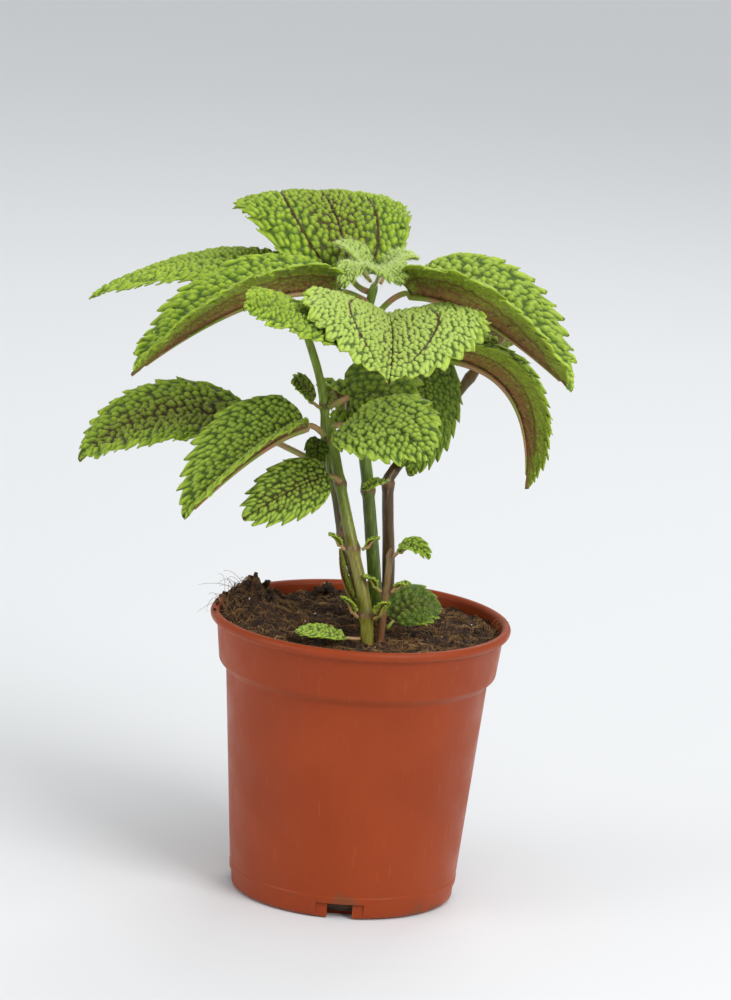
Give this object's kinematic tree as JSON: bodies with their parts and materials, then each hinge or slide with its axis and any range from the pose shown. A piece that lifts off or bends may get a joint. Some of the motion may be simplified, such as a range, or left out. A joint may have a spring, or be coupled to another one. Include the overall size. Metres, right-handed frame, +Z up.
{
  "type": "potted friendship plant",
  "caption": "Friendship plant with quilted, toothed leaves on upright stems, in a round tapering plastic nursery pot filled with peat soil.",
  "frame": {"origin": "centre of the pot's flat foot, on the surface that the pot stands on", "axes": "+Z up along the pot's axis, +X to the right and +Y to the back, seen from the plant's best side"},
  "size_m": [0.1955, 0.1624, 0.2729],
  "materials": {
    "pot": "satin terracotta-coloured plastic",
    "soil": "matt fibrous peat",
    "stem_green": "smooth green stem",
    "stem_brown": "smooth brown stem",
    "leaf": "quilted leaf with short hairs",
    "leaf_young": "silvery young leaf with short hairs"
  },
  "bodies": {
    "root": {"bract_right": "leaf", "leaf_behind_centre": "leaf", "leaf_behind_low": "leaf", "leaf_behind_right": "leaf", "leaf_centre": "leaf", "leaf_centre_dark": "leaf", "leaf_centre_front": "leaf", "leaf_drooping": "leaf", "leaf_far_left": "leaf", "leaf_front": "leaf", "leaf_front_left": "leaf", "leaf_hanging_left": "leaf", "leaf_left": "leaf", "leaf_low_left": "leaf", "leaf_mid_left": "leaf", "leaf_right": "leaf", "leaf_top_back": "leaf", "pot": "pot", "small_behind_stems": "leaf", "small_below_joint": "leaf", "small_low_right": "leaf", "small_on_soil_left": "leaf", "small_on_soil_right": "leaf", "small_upper_left": "leaf", "small_upper_right": "leaf", "soil": "soil", "stem_front": "stem_green", "stem_left": "stem_brown", "stem_low": "stem_brown", "stem_middle": "stem_green", "stem_right": "stem_brown", "tuft_foot_left": "leaf", "tuft_foot_right": "leaf", "tuft_front_left": "leaf", "tuft_front_right": "leaf", "tuft_low_left": "leaf", "tuft_low_right": "leaf", "young_back_left": "leaf_young", "young_back_right": "leaf_young", "young_front": "leaf_young", "young_left": "leaf_young"}
  },
  "joints": []
}
